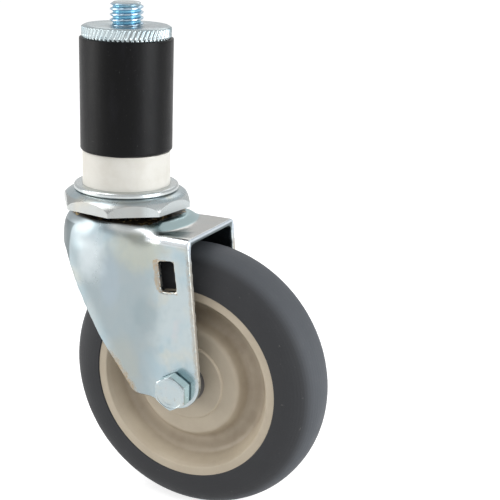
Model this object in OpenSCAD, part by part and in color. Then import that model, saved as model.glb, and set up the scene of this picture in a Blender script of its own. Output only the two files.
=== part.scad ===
// Swivel castor on an expanding stem.
// The swivel axis is Z and the wheel trails towards +X. The origin is on the swivel axis,
// on the seat face where the end of a tube rests.

/* [Stem] */
// Diameter of the threaded stud and of the kingpin below it
stud_d = 12.1; // [10:0.1:13]
// Height of the stud above the knurled nut
stud_rise = 8.2; // [4:0.1:20]
// Chamfer at the top of the stud
stud_chamfer = 1.2; // [0.4:0.1:2]
// Diameter of the riveted foot of the kingpin
foot_d = 17; // [15:0.5:20]
// Height of the riveted foot
foot_h = 2.4; // [1.5:0.1:3.5]

/* [Expander] */
// Diameter of the rubber sleeve
sleeve_d = 34; // [33:0.1:36]
// Length of the rubber sleeve
sleeve_len = 40.8; // [30:0.1:55]
// Diameter of the spacer sleeve under the rubber
spacer_d = 32.4; // [30:0.1:32.8]
// Length of the spacer sleeve
spacer_len = 12.5; // [6:0.1:25]
// Diameter of the round nut over its knurl
nut_d = 32.6; // [28:0.1:32.8]
// Thickness of the round nut
nut_t = 4.4; // [3:0.1:8]
// Edge break of the round nut
nut_edge = 0.5; // [0.2:0.1:1]
// Gap around the stud in the soft sleeves
sleeve_play = 0.3; // [0.1:0.1:1]
// Gap around the stud in the thread of the round nut
thread_play = 0.07; // [0.03:0.01:0.1]

/* [Seat and head] */
// Diameter of the seat washer
washer_d = 38.8; // [34:0.1:40]
// Thickness of the seat washer
washer_t = 1.9; // [1.2:0.1:3]
// Rounding of the upper edge of the seat washer
washer_round = 0.9; // [0.3:0.1:1.1]
// Depth of the recess in the seat washer that centres the spacer sleeve
recess_t = 0.4; // [0.2:0.1:0.8]
// Gap around the spacer sleeve in its recess
recess_play = 0.1; // [0.05:0.05:0.3]
// Width of the eight-sided head across its flats
head_af = 44.9; // [42:0.1:50]
// Thickness of the head
head_t = 5.9; // [4.5:0.1:7]
// Turn of the head about the swivel axis
head_turn = 14.8; // [0:0.1:45]
// Radius of the domed shoulder of the head
head_shoulder = 7; // [6:0.1:9]
// Radius of the flat land on top of the head
head_land = 17.8; // [16:0.1:19]

/* [Swivel race] */
// Diameter of an upper ball
upper_ball_d = 5.55; // [5:0.05:5.6]
// Number of upper balls
upper_ball_count = 15; // [8:1:15]
// Pitch radius of the upper balls
upper_pitch_r = 14.2; // [14:0.1:14.6]
// Diameter of a lower ball
lower_ball_d = 4.76; // [4:0.05:5]
// Number of lower balls
lower_ball_count = 11; // [6:1:11]
// Pitch radius of the lower balls
lower_pitch_r = 9; // [8.9:0.1:9.4]
// Gap between the head and the crown of the fork
race_gap = 2; // [1:0.1:2.5]
// Gap around each ball in its race
ball_play = 0.06; // [0.03:0.01:0.1]
// Wall left under the pressed upper race
race_wall = 2.2; // [1.5:0.1:2.6]
// Radius of the lower race cup
cup_r = 12.7; // [12.4:0.1:13]
// Thickness of the lower race cup
cup_t = 2.6; // [2.2:0.1:3]
// Height of the lip around the lower race cup
cup_lip = 0.9; // [0.3:0.1:1.1]
// Radius of the kingpin hole in the crown
crown_hole_r = 7.4; // [6.8:0.1:7.8]

/* [Fork] */
// Thickness of the pressed sheet
sheet = 2.6; // [2:0.1:3.2]
// Width of the fork over its legs
fork_w = 37.2; // [36.6:0.1:40]
// Radius of the bends along the rear shelf
bend_r = 3; // [2:0.1:4]
// Radius of the round-over along the edge of the crown
crown_round = 5; // [4:0.1:6]
// Distance from the swivel axis to the front of the nose
nose_reach = 24.6; // [23:0.1:27]
// Distance from the swivel axis to the rear end of the shelf
shelf_reach = 36; // [34:0.1:42]
// Radius of the flat top of the crown
crown_r = 23.6; // [23:0.1:23.6]
// Radius where the dome of the crown meets the shelf
dome_foot_r = 27.6; // [27.4:0.1:28]
// Height of the dome above the shelf
dome_rise = 3; // [3:0.1:4]
// Depth of the nose below the shelf at its front
nose_drop = 8.6; // [6:0.1:14]
// Distance from the swivel axis to the lower rear end of the nose
rim_reach = 17.8; // [15:0.1:20]
// Depth of the lower rear end of the nose below the shelf
rim_drop = 11.9; // [9:0.1:16]
// Place of the knee in the front edge of the leg, behind the swivel axis
knee_x = -0.6; // [-4:0.1:4]
// Depth of the knee below the seat face
knee_drop = 55.5; // [48:0.5:58]
// Distance of the toe of the leg in front of the axle
toe_reach = 17.7; // [14:0.1:20]
// Depth of the toe below the axle
toe_drop = 5.2; // [3:0.1:6]
// Distance from the swivel axis back to the axle
trail = 32; // [28:0.1:33]
// Distance from the seat face down to the axle
axle_drop = 69.75; // [69:0.25:80]
// Reach of the leg behind the axle
lobe_reach = 10.4; // [8:0.1:13]
// Reach of the leg below the axle
lobe_drop = 7.8; // [7:0.1:10]
// Radius of the round end of the leg
lobe_r = 10; // [6:0.1:12]
// Width of the window in the near leg
window_w = 6.2; // [4:0.1:8]
// Height of the window in the near leg
window_h = 11.2; // [6:0.1:14]
// Distance of the middle of the window in front of the rear end of the shelf
window_inset = 8.3; // [7:0.1:12]
// Distance of the middle of the window below the seat face
window_drop = 27.5; // [25:0.1:34]
// Lean of the window
window_lean = 8; // [0:0.5:12]

/* [Axle] */
// Diameter of the axle bolt
axle_d = 7.9; // [6:0.1:8.2]
// Width across the flats of the bolt head and nut
bolt_af = 11.8; // [11.2:0.1:13]
// Height of the bolt head
bolt_head_h = 4.9; // [3.5:0.1:6]
// Width of the turned edge around the face of the bolt head and nut
hex_edge = 0.4; // [0.1:0.1:1]
// Height of the hexagon of the lock nut
lock_nut_h = 6; // [5:0.1:8]
// Height of the round collar of the lock nut
collar_h = 2; // [1.5:0.1:2.5]
// Length of bolt beyond the lock nut
bolt_rise = 1.4; // [0.5:0.1:5]
// Wall of the spanner bushing that the bolt clamps between the legs
spanner_wall = 0.8; // [0.6:0.05:1]
// Gap between the bolt and what it passes through
axle_play = 0.07; // [0.03:0.01:0.1]
// Gap between the spanner bushing and the wheel bushings
bearing_play = 0.07; // [0.03:0.01:0.1]
// Radius of the spacers beside the wheel
spacer_ring_r = 7.4; // [6.5:0.1:7.6]
// Gap between the spacers and the wheel bushings
side_play = 0.1; // [0.05:0.01:0.3]

/* [Wheel] */
// Diameter of the wheel over its tyre
wheel_d = 101.6; // [96:0.2:103]
// Width of the tyre
tyre_w = 25.8; // [25:0.1:28]
// Squareness of the tyre's section
tyre_square = 2.3; // [2.2:0.1:4]
// Height of the round part of the tyre's section
tyre_crown = 14; // [8:0.1:14]
// Diameter of the rim where it meets the tyre
rim_d = 72.8; // [70:0.1:73]
// Width of the rim
rim_w = 25; // [22:0.1:25]
// Width of the lip around each side of the rim
rim_lip = 3; // [1.5:0.1:3.5]
// Height of the ridge that keys the tyre to the rim
key_h = 2.6; // [1:0.1:4]
// Width of the ridge that keys the tyre to the rim
key_w = 12; // [6:0.5:16]
// Thickness of the web
web_t = 10; // [6:0.5:12]
// Diameter of the raised ring around the hub
ring_d = 41.2; // [38:0.1:44]
// Width of the wheel over the raised rings
ring_w = 19.4; // [17:0.1:20]
// Diameter of the hub face
hub_d = 28.6; // [24:0.1:30]
// Length of the hub
hub_len = 21; // [20:0.1:24]
// Wall of the wheel bushings
bushing_wall = 1.8; // [1:0.1:2.5]
// Depth of each wheel bushing in the hub
bushing_depth = 9.4; // [5:0.1:9.8]
// Thickness of the flange of each wheel bushing
flange_t = 2.9; // [1.5:0.1:3.4]
// Radius of the flange of each wheel bushing
flange_r = 7.6; // [7:0.1:8.5]

/* [Hidden] */

// Facets of round parts, and points on a rounded corner
$fn = 96;
arc_steps = 8;

// Heights of the parts stacked on the swivel axis
head_top = -washer_t;
head_bottom = head_top - head_t;
crown_top = head_bottom - race_gap;
shelf_z = crown_top - dome_rise;
upper_ball_z = (head_bottom + crown_top) / 2;
lower_ball_z = crown_top - sheet - lower_ball_d / 2 - ball_play;
cup_top = lower_ball_z - cup_lip;
cup_bottom = cup_top - cup_t;
sleeve_top = spacer_len + sleeve_len;
nut_top = sleeve_top + nut_t;
stud_r = stud_d / 2;

// Widths of the fork and the centre of its round nose
half_w = fork_w / 2;
nose_x = half_w - nose_reach;
inner_half = half_w - sheet;
axle_z = -axle_drop;
axle_r = axle_d / 2;
spanner_r = axle_r + axle_play + spanner_wall;
bushing_bore_r = spanner_r + bearing_play;
bushing_r = bushing_bore_r + bushing_wall;
flange_y = hub_len / 2 + flange_t;
overlap = 1;

// Slope of the turned edge of a hexagon
hex_slope = 30;

// Lock nut: thickness of its nylon ring and of the rim that holds it, step and wall of its collar
insert_t = 1.8;
insert_rim = 0.4;
collar_step = 0.4;
collar_wall = 0.9;

// Roundings of the dome outside and inside, and spare angle of the tool that rounds its edge
dome_top_round = 4;
dome_foot_round = 3;
inner_top_round = 2;
inner_foot_round = 5;
spare_roll = 12;

// Roundings of the fork's side outline
toe_round = 5;
knee_round = 40;
rim_round = 5;

// Core: broken edges, roundings of the ring, web and lip, step of the lip, slopes of its walls
core_edge = 0.6;
ring_round = 2;
web_round = 2.5;
lip_round = 1.5;
lip_step = 1.6;
lip_slope = 1;
hub_draft = 0.4;
ring_draft = 0.6;
dish_draft = 0.5;
key_slope = 1;

// Broken edge of the flange of a wheel bushing
flange_edge = 0.4;

// Direction from one point to another
function unit(v) = v / norm(v);

// Points of the arc of radius r that rounds the corner b between a and c
function corner(a, b, c, r) =
    r <= 0 ? [b] :
    let (u = unit(a - b), v = unit(c - b), half = acos(u * v) / 2,
         m = b + unit(u + v) * r / sin(half),
         p = b + u * r / tan(half) - m, q = b + v * r / tan(half) - m,
         from = atan2(p.y, p.x), sweep = (atan2(q.y, q.x) - from + 540) % 360 - 180)
    [for (i = [0 : arc_steps]) let (t = from + sweep * i / arc_steps) m + r * [cos(t), sin(t)]];

// An outline whose corners [x, y, radius] are rounded
function rounded(points) =
    let (n = len(points), xy = [for (p = points) [p.x, p.y]])
    [for (i = [0 : n - 1]) each corner(xy[(i + n - 1) % n], xy[i], xy[(i + 1) % n], points[i].z)];

// A ring of equal balls about the swivel axis
module ball_ring(count, ball_d, pitch_r, z) {
    for (i = [0 : count - 1])
        rotate([0, 0, 360 * i / count])
            translate([pitch_r, 0, z])
                sphere(d = ball_d, $fn = 32);
}

// A groove that balls of one size run in
module ball_groove(ball_d, pitch_r, z) {
    translate([0, 0, z])
        rotate_extrude()
            translate([pitch_r, 0])
                circle(r = ball_d / 2 + ball_play);
}

// A round part turned on the swivel axis from its half section
module turned(section) {
    rotate_extrude()
        polygon(section);
}

// Places a part that is turned about Z on the wheel's axle instead
module on_axle() {
    translate([trail, 0, axle_z])
        rotate([-90, 0, 0])
            children();
}

// A hexagon along Z with its corners turned off at one or both ends
module hexagon(af, h) {
    corner_r = af / sqrt(3);
    face_r = af / 2 - hex_edge;
    tool_r = corner_r + overlap;
    intersection() {
        rotate([0, 0, 30])
            cylinder(r = corner_r, h = h, $fn = 6);
        turned([[0, 0], [tool_r, 0], [tool_r, h - (tool_r - face_r) * tan(hex_slope)],
                [face_r, h], [0, h]]);
    }
}

module threaded_stem() {
    color("lightsteelblue")
        turned([[0, cup_bottom - foot_h], [foot_d / 2 - foot_h / 2, cup_bottom - foot_h],
                [foot_d / 2, cup_bottom - foot_h / 2], [foot_d / 2, cup_bottom],
                [stud_r, cup_bottom], [stud_r, nut_top + stud_rise - stud_chamfer],
                [stud_r - stud_chamfer, nut_top + stud_rise], [0, nut_top + stud_rise]]);
}

module knurled_nut() {
    bore_r = stud_r + thread_play;
    nut_r = nut_d / 2;
    color("silver")
        turned([[bore_r, sleeve_top], [nut_r - nut_edge / 2, sleeve_top],
                [nut_r, sleeve_top + nut_edge / 2], [nut_r, nut_top - nut_edge],
                [nut_r - nut_edge, nut_top], [bore_r, nut_top]]);
}

module rubber_sleeve() {
    color([0.13, 0.13, 0.14])
        difference() {
            translate([0, 0, spacer_len])
                cylinder(d = sleeve_d, h = sleeve_len);
            translate([0, 0, spacer_len - overlap])
                cylinder(r = stud_r + sleeve_play, h = sleeve_len + 2 * overlap);
        }
}

module spacer_sleeve() {
    color("whitesmoke")
        difference() {
            translate([0, 0, -recess_t])
                cylinder(d = spacer_d, h = spacer_len + recess_t);
            translate([0, 0, -recess_t - overlap])
                cylinder(r = stud_r + sleeve_play, h = spacer_len + recess_t + 2 * overlap);
        }
}

// Washer whose raised rim is the seat of the tube, around a recess for the spacer sleeve
module seat_washer() {
    washer_r = washer_d / 2;
    recess_r = spacer_d / 2 + recess_play;
    color("lightsteelblue")
        turned(rounded([[stud_r, -washer_t, 0], [washer_r, -washer_t, washer_round / 2],
                        [washer_r, 0, washer_round], [recess_r, 0, 0], [recess_r, -recess_t, 0],
                        [stud_r, -recess_t, 0]]));
}

// Eight-sided bearing head with a domed shoulder, and the upper ball race in its underside
module race_head() {
    color("gainsboro")
        difference() {
            intersection() {
                rotate([0, 0, head_turn])
                    translate([0, 0, head_bottom])
                        cylinder(r = head_af / 2 / cos(22.5), h = head_t, $fn = 8);
                turned(head_section());
            }
            translate([0, 0, head_bottom - overlap])
                cylinder(r = stud_r, h = head_t + 2 * overlap);
            ball_groove(upper_ball_d, upper_pitch_r, upper_ball_z);
        }
}

// Half section of the domed shoulder: an arc from the land down to the underside
function head_section() =
    let (low = max(head_bottom, head_top - head_shoulder),
         fall = acos(1 - (head_top - low) / head_shoulder))
    concat([[0, head_bottom], [0, head_top]],
           [for (i = [0 : 2 * arc_steps]) let (t = fall * i / (2 * arc_steps))
               [head_land + head_shoulder * sin(t), head_top - head_shoulder * (1 - cos(t))]],
           [[head_land + head_shoulder * sin(fall), head_bottom]]);

module upper_balls() {
    color("darkgoldenrod")
        ball_ring(upper_ball_count, upper_ball_d, upper_pitch_r, upper_ball_z);
}

module lower_balls() {
    color("darkgoldenrod")
        ball_ring(lower_ball_count, lower_ball_d, lower_pitch_r, lower_ball_z);
}

// Cup that carries the lower balls, held by the riveted foot
module lower_race() {
    lip_in = lower_pitch_r + lower_ball_d / 2 + ball_play;
    color("silver")
        difference() {
            turned([[stud_r, cup_bottom], [cup_r - cup_lip, cup_bottom], [cup_r, cup_bottom + cup_lip],
                    [cup_r, cup_top + cup_lip], [lip_in, cup_top + cup_lip], [lip_in, cup_top],
                    [stud_r, cup_top]]);
            ball_groove(lower_ball_d, lower_pitch_r, lower_ball_z);
        }
}

// Half section of the dome: flat top, sloping side and a soft foot on the shelf
function dome_section(top_r, foot_r, top, foot, round_top, round_foot) =
    let (fall = atan((top - foot) / (foot_r - top_r)), low = foot - bend_r - overlap)
    concat([[0, low], [0, top]],
           corner([0, top], [top_r, top], [foot_r, foot], round_top),
           corner([top_r, top], [foot_r, foot], [2 * foot_r, foot], round_foot),
           [[foot_r + round_foot * tan(fall / 2), low]]);

// Straight channel and round nose with the same section, from the top down to depth
module channel(half, edge_r, top, rear, depth) {
    translate([nose_x, 0, 0])
        rotate_extrude(angle = 180, start = 90)
            polygon(rounded([[0, top, 0], [half, top, edge_r], [half, depth, 0], [0, depth, 0]]));
    translate([nose_x, 0, 0])
        rotate([90, 0, 90])
            linear_extrude(rear - nose_x)
                polygon(rounded([[-half, depth, 0], [-half, top, edge_r],
                                 [half, top, edge_r], [half, depth, 0]]));
}

// The corner that is left when a quarter circle of radius r is taken out of a square
function corner_section(half, top, r) =
    concat([[half - r, top + 2 * overlap]],
           corner([0, top], [half, top], [half, top - half], r),
           [[half + 2 * overlap, top - r], [half + 2 * overlap, top + 2 * overlap]]);

// Tool that rounds the edge where the dome meets the nose and the legs with radius r
module crown_edge_cutter(half, top, r) {
    foot_x = sqrt(pow(dome_foot_r, 2) - pow(half_w, 2));
    straight_x = sqrt(pow(crown_r, 2) - pow(half_w, 2)) - dome_rise;
    run = foot_x - straight_x;
    roll_r = (run * run + dome_rise * dome_rise) / (2 * dome_rise);
    roll = asin(run / roll_r) + spare_roll;
    nose_fall = (nose_reach - crown_r) * dome_rise / (dome_foot_r - crown_r);
    translate([nose_x, 0, top])
        rotate([0, -atan(nose_fall / half_w), 0])
            rotate_extrude(angle = 180, start = 90)
                polygon(corner_section(half, 0, r));
    for (side = [0, 1])
        mirror([0, side, 0]) {
            translate([nose_x, 0, 0])
                rotate([90, 0, 90])
                    linear_extrude(straight_x - nose_x)
                        polygon(corner_section(half, top, r));
            translate([straight_x, 0, top - roll_r])
                rotate([90, 0, 0])
                    rotate_extrude(angle = roll, start = 90 - roll)
                        polygon([for (p = corner_section(half, roll_r, r)) [p.y, p.x]]);
        }
}

// Outside of the fork before its side outline is cut: channel, nose and dome
module fork_outside(depth) {
    channel(half_w, bend_r, shelf_z, shelf_reach + lobe_reach, depth);
    difference() {
        intersection() {
            turned(dome_section(crown_r, dome_foot_r, crown_top, shelf_z, dome_top_round,
                                dome_foot_round));
            channel(half_w, 0, crown_top + overlap, 2 * crown_r, depth);
        }
        crown_edge_cutter(half_w, crown_top, crown_round);
    }
}

// Space inside the pressed sheet, which leaves the wall of the upper race
module fork_inside(depth) {
    inset = sheet * tan(atan(dome_rise / (dome_foot_r - crown_r)) / 2);
    inner_top = crown_top - sheet;
    difference() {
        union() {
            channel(inner_half, bend_r - sheet / 2, shelf_z - sheet, shelf_reach + 2 * lobe_reach,
                    depth - overlap);
            difference() {
                intersection() {
                    turned(dome_section(crown_r - inset, dome_foot_r - inset, inner_top,
                                        shelf_z - sheet, inner_top_round, inner_foot_round));
                    channel(inner_half, 0, crown_top, 2 * crown_r, depth);
                }
                crown_edge_cutter(inner_half, inner_top, crown_round - sheet);
            }
        }
        translate([0, 0, upper_ball_z])
            rotate_extrude()
                translate([upper_pitch_r, 0])
                    circle(r = upper_ball_d / 2 + ball_play + race_wall);
    }
}

// Side outline of the fork: nose rim, slanting front edge, toe, round end and rear edge
function fork_outline() =
    let (low = axle_z - lobe_drop, toe_z = axle_z - toe_drop, front = -nose_reach - overlap,
         rim_z = shelf_z - rim_drop, nose_z = shelf_z - nose_drop, toe_x = trail - toe_reach)
    rounded([[front, overlap, 0], [shelf_reach, overlap, 0], [shelf_reach, shelf_z - bend_r, 0],
             [trail + lobe_reach, low, lobe_r], [trail - lobe_r / 3, low, lobe_r],
             [trail - lobe_r, toe_z, lobe_r / 2], [toe_x, toe_z, toe_round],
             [knee_x, -knee_drop, knee_round], [-rim_reach, rim_z, rim_round], [front, nose_z, 0]]);

module fork() {
    depth = axle_z - lobe_drop - overlap;
    color("lightsteelblue")
        difference() {
            intersection() {
                fork_outside(depth);
                translate([0, half_w + overlap, 0])
                    rotate([90, 0, 0])
                        linear_extrude(fork_w + 2 * overlap)
                            polygon(fork_outline());
            }
            fork_inside(depth);
            ball_groove(upper_ball_d, upper_pitch_r, upper_ball_z);
            translate([0, 0, shelf_z - sheet])
                cylinder(r = crown_hole_r, h = dome_rise + 2 * sheet);
            on_axle()
                translate([0, 0, -fork_w])
                    cylinder(r = axle_r + axle_play, h = 2 * fork_w);
            translate([shelf_reach - window_inset, -half_w, -window_drop])
                rotate([0, -window_lean, 0])
                    cube([window_w, 4 * sheet, window_h], center = true);
        }
}

module axle_bolt() {
    tip = half_w + lock_nut_h + collar_h + bolt_rise;
    color("lightsteelblue")
        on_axle() {
            translate([0, 0, -half_w])
                cylinder(r = axle_r, h = half_w + tip);
            translate([0, 0, -half_w])
                mirror([0, 0, 1])
                    hexagon(bolt_af, bolt_head_h);
        }
}

// Lock nut: hexagon with a round collar that holds the nylon insert
module lock_nut() {
    collar_r = bolt_af / 2 - collar_step;
    insert_r = collar_r - collar_wall;
    top = lock_nut_h + collar_h;
    color("silver")
        on_axle()
            translate([0, 0, half_w])
                difference() {
                    union() {
                        hexagon(bolt_af, lock_nut_h);
                        turned(rounded([[0, lock_nut_h - overlap, 0], [collar_r, lock_nut_h - overlap, 0],
                                        [collar_r, top, collar_wall], [0, top, 0]]));
                    }
                    translate([0, 0, -overlap])
                        cylinder(r = axle_r, h = top + 2 * overlap);
                    translate([0, 0, top - insert_t - insert_rim])
                        cylinder(r = insert_r, h = insert_t);
                }
}

module nut_insert() {
    color("white")
        on_axle()
            translate([0, 0, half_w + lock_nut_h + collar_h - insert_t - insert_rim])
                difference() {
                    cylinder(r = bolt_af / 2 - collar_step - collar_wall, h = insert_t);
                    translate([0, 0, -overlap])
                        cylinder(r = axle_r, h = insert_t + 2 * overlap);
                }
}

module spanner_bushing() {
    color("silver")
        on_axle()
            translate([0, 0, -inner_half])
                difference() {
                    cylinder(r = spanner_r, h = 2 * inner_half);
                    translate([0, 0, -overlap])
                        cylinder(r = axle_r + axle_play, h = 2 * inner_half + 2 * overlap);
                }
}

// Washer between a wheel bushing and the leg on the side given by 1 or -1
module axle_spacer(side) {
    thickness = inner_half - flange_y - side_play;
    color("gainsboro")
        on_axle()
            translate([0, 0, side > 0 ? inner_half - thickness : -inner_half])
                difference() {
                    cylinder(r = spacer_ring_r, h = thickness);
                    translate([0, 0, -overlap])
                        cylinder(r = spanner_r, h = thickness + 2 * overlap);
                }
}

module near_spacer() {
    axle_spacer(-1);
}

module far_spacer() {
    axle_spacer(1);
}

// Flanged plain bearing pressed into the hub
module wheel_bushing() {
    hub_y = hub_len / 2;
    color("ivory")
        turned([[bushing_bore_r, hub_y - bushing_depth], [bushing_r, hub_y - bushing_depth],
                [bushing_r, hub_y], [flange_r, hub_y], [flange_r, flange_y - flange_edge],
                [flange_r - flange_edge, flange_y], [bushing_bore_r, flange_y]]);
}

module near_bushing() {
    on_axle()
        mirror([0, 0, 1])
            wheel_bushing();
}

module far_bushing() {
    on_axle()
        wheel_bushing();
}

// Outline of one half of the core, from the bore out to the middle of the tyre's bed
function core_half() =
    let (rim_r = rim_d / 2, rim_y = rim_w / 2, ring_r = ring_d / 2, ring_y = ring_w / 2,
         hub_r = hub_d / 2, web_y = web_t / 2, hub_y = hub_len / 2, draft = (ring_y - web_y) * ring_draft,
         lip_in = rim_r - rim_lip, key_y = key_w / 2, dish = (rim_y - web_y) * dish_draft)
    [[bushing_r, hub_y, 0], [hub_r, hub_y, core_edge], [hub_r + hub_draft, ring_y, 0],
     [ring_r, ring_y, ring_round], [ring_r + draft, web_y, web_round], [lip_in - dish, web_y, web_round],
     [lip_in - lip_slope, rim_y - lip_step, lip_round], [lip_in, rim_y, core_edge], [rim_r, rim_y, 0],
     [rim_r, key_y + key_slope, 0], [rim_r + key_h, key_y, 0]];

function mirrored(points) =
    concat(points, [for (i = [len(points) - 1 : -1 : 0]) [points[i].x, -points[i].y, points[i].z]]);

module wheel_core() {
    color([0.72, 0.67, 0.6])
        on_axle()
            turned(rounded(mirrored(core_half())));
}

// Half of the tyre's round part: a superellipse from the side to the middle of the tread
function tyre_arc() =
    let (side_y = tyre_w / 2, tread_r = wheel_d / 2, base_r = tread_r - tyre_crown, steps = 4 * arc_steps,
         power = 2 / tyre_square)
    [for (i = [0 : steps]) let (t = 180 * i / steps, s = sign(cos(t)))
        [base_r + tyre_crown * pow(sin(t), power), s * side_y * pow(abs(cos(t)), power)]];

module tyre() {
    rim_r = rim_d / 2;
    key_y = key_w / 2;
    color([0.3, 0.3, 0.31])
        on_axle()
            turned(concat([[rim_r + key_h, -key_y], [rim_r + key_h, key_y], [rim_r, key_y + key_slope],
                           [rim_r, rim_w / 2]], tyre_arc(),
                          [[rim_r, -rim_w / 2], [rim_r, -key_y - key_slope]]));
}

threaded_stem();
knurled_nut();
rubber_sleeve();
spacer_sleeve();
seat_washer();
race_head();
upper_balls();
fork();
lower_balls();
lower_race();
axle_bolt();
lock_nut();
nut_insert();
spanner_bushing();
near_spacer();
far_spacer();
near_bushing();
far_bushing();
wheel_core();
tyre();
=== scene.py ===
# %% [markdown]
# # A stem castor
# The castor hangs on a table leg: a rubber sleeve swells inside the tube when the round nut is
# turned down, a pressed steel fork swivels on two rings of loose balls, and a wheel with a grey
# rubber tyre turns on a bolt between the fork's legs. The solid model gives every piece its
# place and size. What follows adds the thread, the knurl, the finishes and the light.

# %% Load the solid model
import math
from types import SimpleNamespace
import bpy
import numpy as np
from mathutils import Matrix, Vector


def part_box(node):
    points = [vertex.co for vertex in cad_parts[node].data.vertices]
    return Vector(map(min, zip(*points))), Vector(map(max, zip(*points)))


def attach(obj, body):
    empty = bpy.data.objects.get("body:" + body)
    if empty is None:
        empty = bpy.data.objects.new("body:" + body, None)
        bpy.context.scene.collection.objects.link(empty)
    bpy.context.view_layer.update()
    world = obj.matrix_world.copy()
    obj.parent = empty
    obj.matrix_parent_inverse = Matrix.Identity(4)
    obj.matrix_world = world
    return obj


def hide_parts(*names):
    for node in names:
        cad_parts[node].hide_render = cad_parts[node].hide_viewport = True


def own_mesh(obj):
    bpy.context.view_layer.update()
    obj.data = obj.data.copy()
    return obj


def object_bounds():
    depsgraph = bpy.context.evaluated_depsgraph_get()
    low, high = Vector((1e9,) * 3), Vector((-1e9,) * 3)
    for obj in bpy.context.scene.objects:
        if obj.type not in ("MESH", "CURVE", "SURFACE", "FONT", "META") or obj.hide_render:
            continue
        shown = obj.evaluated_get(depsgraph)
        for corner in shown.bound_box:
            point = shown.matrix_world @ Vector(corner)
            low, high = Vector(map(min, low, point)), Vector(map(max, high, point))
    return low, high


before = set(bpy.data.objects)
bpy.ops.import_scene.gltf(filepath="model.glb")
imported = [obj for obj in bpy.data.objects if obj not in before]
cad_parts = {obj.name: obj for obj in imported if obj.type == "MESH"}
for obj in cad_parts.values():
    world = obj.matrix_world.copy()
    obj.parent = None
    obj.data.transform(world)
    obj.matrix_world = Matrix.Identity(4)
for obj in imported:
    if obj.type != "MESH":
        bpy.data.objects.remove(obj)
cad_low, cad_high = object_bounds()
MM = 0.001


def sides_in_mm(low, high):
    """The lengths of a box's sides in millimetres."""
    return [round((h - l) / MM, 1) for l, h in zip(low, high)]


print("solids:", len(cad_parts), "box in mm:", sides_in_mm(cad_low, cad_high))

# %% [markdown]
# ## Measuring the solids
# New pieces are worked out from the solids that they dress, so that they still fit when a size
# changes. Two questions are enough: how high a solid reaches, and how wide a turned piece is
# at some height above or below the seat.

# %% Ask the solids for sizes
def heights(node):
    """The lowest and highest point of a solid, in millimetres."""
    low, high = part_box(node)
    return low.z / MM, high.z / MM


def turned_radius(node, low_z, high_z):
    """The largest distance from the swivel axis in a band of heights, in millimetres."""
    points = [v.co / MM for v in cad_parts[node].data.vertices]
    return max(math.hypot(p.x, p.y) for p in points if low_z <= p.z <= high_z)


stem_low, stem_high = heights("threaded_stem")
cup_low, cup_high = heights("lower_race")
stud_r = turned_radius("threaded_stem", 0, stem_high)
wheel_low, wheel_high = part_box("tyre")
axle_x = (wheel_low.x + wheel_high.x) / 2 / MM
axle_z = (wheel_low.z + wheel_high.z) / 2 / MM
tyre_r = (wheel_high.z - wheel_low.z) / 2 / MM
print("stud radius", round(stud_r, 2), "axle at", round(axle_x, 1), round(axle_z, 1))

# %% [markdown]
# ## The camera
# The photograph looks down on the castor from the right of its front, through a long lens. The
# angles were fitted to the round outlines of the wheel, the rim and the stem, which fix a
# camera well. It aims past the stem because the castor stands left of the middle.

# %% Set the camera
view_azimuth = math.radians(24.78)
view_height = math.radians(16.92)
view_roll = math.radians(1.84)
view_distance = 442.7 * MM
aim = Vector((45.3, 13.2, -22.9)) * MM

towards_camera = Vector((math.sin(view_azimuth) * math.cos(view_height),
                         -math.cos(view_azimuth) * math.cos(view_height),
                         math.sin(view_height)))
level_right = Vector((math.cos(view_azimuth), math.sin(view_azimuth), 0))
level_up = towards_camera.cross(level_right)
frame_right = level_right * math.cos(view_roll) + level_up * math.sin(view_roll)
frame_up = level_up * math.cos(view_roll) - level_right * math.sin(view_roll)

lens = bpy.data.cameras.new("camera")
lens.sensor_width = 36
lens.lens = 85.8
lens.clip_start = 0.01
camera = bpy.data.objects.new("camera", lens)
bpy.context.scene.collection.objects.link(camera)
turn = Matrix((frame_right, frame_up, towards_camera)).transposed().to_4x4()
camera.matrix_world = Matrix.Translation(aim + towards_camera * view_distance) @ turn
bpy.context.scene.camera = camera
bpy.context.scene.view_settings.view_transform = "Standard"
print("camera at", [round(c, 3) for c in camera.matrix_world.translation])

# %% [markdown]
# ## Shader sums
# A finish is a sum of masks and noises. Blender builds such a sum from many small nodes, and
# long lists of links are hard to read. Here one class wraps the output of a node, so that
# masks are added and multiplied as plain numbers are. The sign | takes the greater of two
# masks, as when two stains meet. Any other kind of node comes from the one method node().

# %% Wrap the output of a node
class Wire:
    """One output of a shader node, written in sums as if it were a number."""

    def __init__(self, tree, socket=None):
        self.tree = tree
        self.socket = socket

    def node(self, kind, settings, inputs, output=0):
        """Adds a node, makes its settings, then fills its sockets from values or wires."""
        made = self.tree.nodes.new(kind)
        for name, value in settings.items():
            setattr(made, name, value)
        for name, value in inputs.items():
            if isinstance(value, Wire):
                self.tree.links.new(value.socket, made.inputs[name])
            else:
                made.inputs[name].default_value = value
        return Wire(self.tree, made.outputs[output])

    def maths(self, operation, *values):
        return self.node("ShaderNodeMath", {"operation": operation}, dict(enumerate(values)))

    def __add__(self, other):
        return self.maths("ADD", self, other)

    def __radd__(self, other):
        return self.maths("ADD", other, self)

    def __sub__(self, other):
        return self.maths("SUBTRACT", self, other)

    def __rsub__(self, other):
        return self.maths("SUBTRACT", other, self)

    def __mul__(self, other):
        return self.maths("MULTIPLY", self, other)

    def __rmul__(self, other):
        return self.maths("MULTIPLY", other, self)

    def __truediv__(self, other):
        return self.maths("DIVIDE", self, other)

    def __or__(self, other):
        return self.maths("MAXIMUM", self, other)

    def __abs__(self):
        return self.maths("ABSOLUTE", self)


print("sums ready")

# %% [markdown]
# ## Helpers for finishes
# Every finish starts from the place on the object in millimetres, so that the size of a grain
# or a stain can be written as it would be measured. A place splits into its coordinates, and
# two of them give the distance from an axis.

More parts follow.
